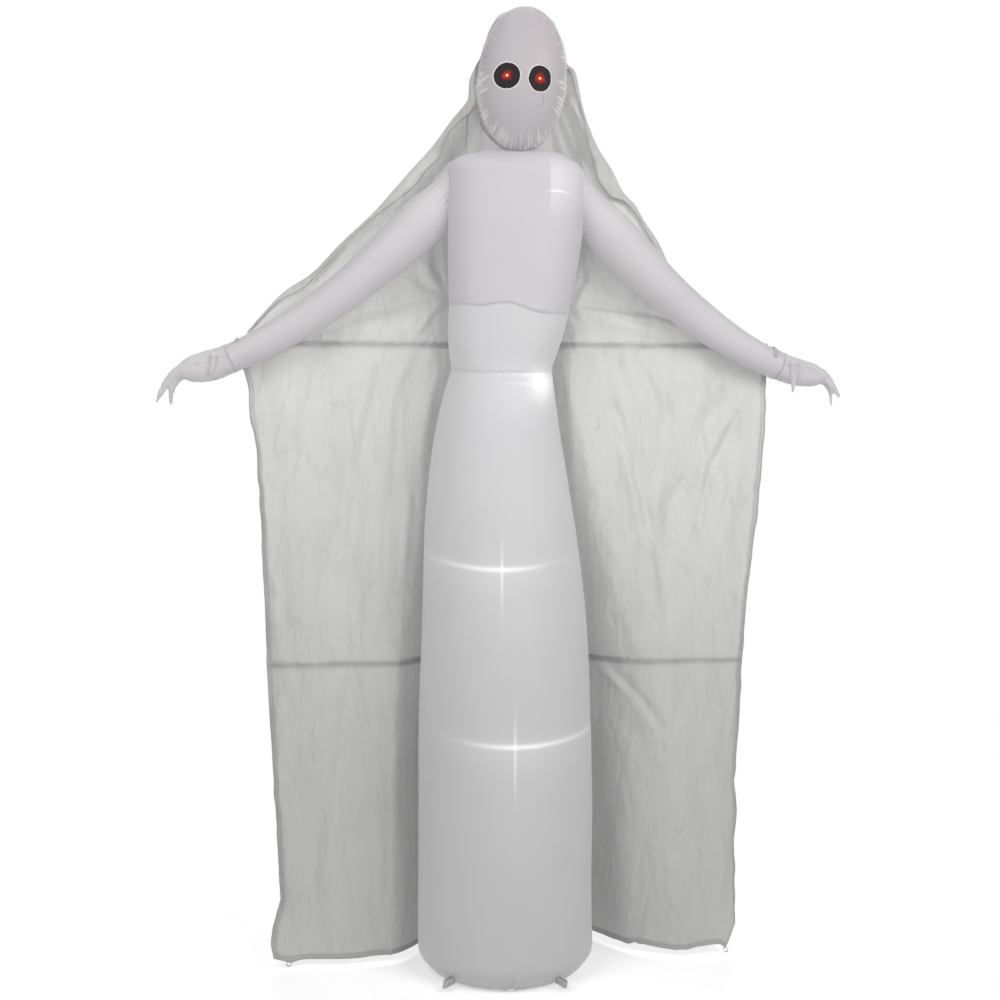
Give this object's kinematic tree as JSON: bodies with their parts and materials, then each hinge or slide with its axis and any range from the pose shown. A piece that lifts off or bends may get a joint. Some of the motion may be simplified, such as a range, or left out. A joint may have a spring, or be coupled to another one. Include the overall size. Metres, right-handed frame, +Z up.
{
  "type": "inflatable ghost decoration",
  "caption": "Fan-blown fabric ghost with pillow head, lit eyes, drooping arms and a long hooded cape, standing on a weighted round base.",
  "frame": {"origin": "middle of the base panel, on the floor", "axes": "+X to the right seen from the front, +Y to the back, +Z up"},
  "size_m": [2.65, 0.8035, 3.65],
  "materials": {
    "body_skin": "translucent white coated polyester, satin, lit from within",
    "face_skin": "translucent coated polyester, slightly greyer, puckered at its seams",
    "cape_cloth": "thin white woven polyester",
    "seam_band": "doubled white polyester, stitched",
    "eye_cloth": "black felted polyester",
    "lamp_lens": "clear moulded lens over a warm LED",
    "lead_sheath": "white PVC sheath",
    "base_cloth": "heavy coated oxford cloth",
    "sand_bag": "woven bag filled with sand",
    "fan_plastic": "black moulded ABS, fine grain",
    "bright_steel": "zinc plated",
    "bearing_brass": "sintered bronze",
    "webbing": "white polypropylene webbing, ribbed weave"
  },
  "bodies": {
    "figure": {"base_loop_1": "webbing", "base_loop_2": "webbing", "base_loop_3": "webbing", "base_loop_4": "webbing", "base_panel": "base_cloth", "cape_lower": "cape_cloth", "cape_lower_seam_band": "seam_band", "cape_middle": "cape_cloth", "cape_upper": "cape_cloth", "cape_upper_seam_band": "seam_band", "chest": "body_skin", "cord_gland": "fan_plastic", "eye_lead": "lead_sheath", "face_panel": "face_skin", "fan_clamp_band": "bright_steel", "fan_grille": "fan_plastic", "fan_housing": "fan_plastic", "fan_sleeve": "base_cloth", "front_bush": "bearing_brass", "grille_screw_1": "bright_steel", "grille_screw_2": "bright_steel", "grille_screw_3": "bright_steel", "head_back": "face_skin", "head_gusset": "face_skin", "hood_tack": "webbing", "lamp_1": "lamp_lens", "lamp_2": "lamp_lens", "lamp_3": "lamp_lens", "lamp_4": "lamp_lens", "lamp_lead": "lead_sheath", "left_arm": "body_skin", "left_cape_strap": "webbing", "left_corner_loop": "webbing", "left_eye": "eye_cloth", "left_eye_lamp": "lamp_lens", "left_hand": "body_skin", "left_thumb": "body_skin", "left_weight_bag": "sand_bag", "left_wrist_tab": "webbing", "light_strap": "webbing", "lower_body": "body_skin", "motor": "bright_steel", "neck": "body_skin", "rear_bush": "bearing_brass", "right_arm": "body_skin", "right_cape_strap": "webbing", "right_corner_loop": "webbing", "right_eye": "eye_cloth", "right_eye_lamp": "lamp_lens", "right_hand": "body_skin", "right_thumb": "body_skin", "right_weight_bag": "sand_bag", "right_wrist_tab": "webbing", "waist_band": "body_skin", "zip_tape": "webbing"},
    "impeller": {"impeller": "fan_plastic", "fan_shaft": "bright_steel"},
    "zip_slider": {"zip_slider": "bright_steel"},
    "zip_pull": {"zip_pull": "bright_steel"}
  },
  "joints": [
    {"name": "impeller_spin", "type": "hinge", "parent": "figure", "child": "impeller", "pos_m": [0, 0.3273, 0.205], "axis": [0, 1, 0], "continuous": true},
    {"name": "zip_slide", "type": "slide", "parent": "figure", "child": "zip_slider", "axis": [0, 0, 1], "range_m": [-0.405, 0]},
    {"name": "zip_pull_swing", "type": "hinge", "parent": "zip_slider", "child": "zip_pull", "pos_m": [0, 0.34122, 0.8247], "axis": [1, 0, 0], "range_deg": [0, 175]}
  ]
}
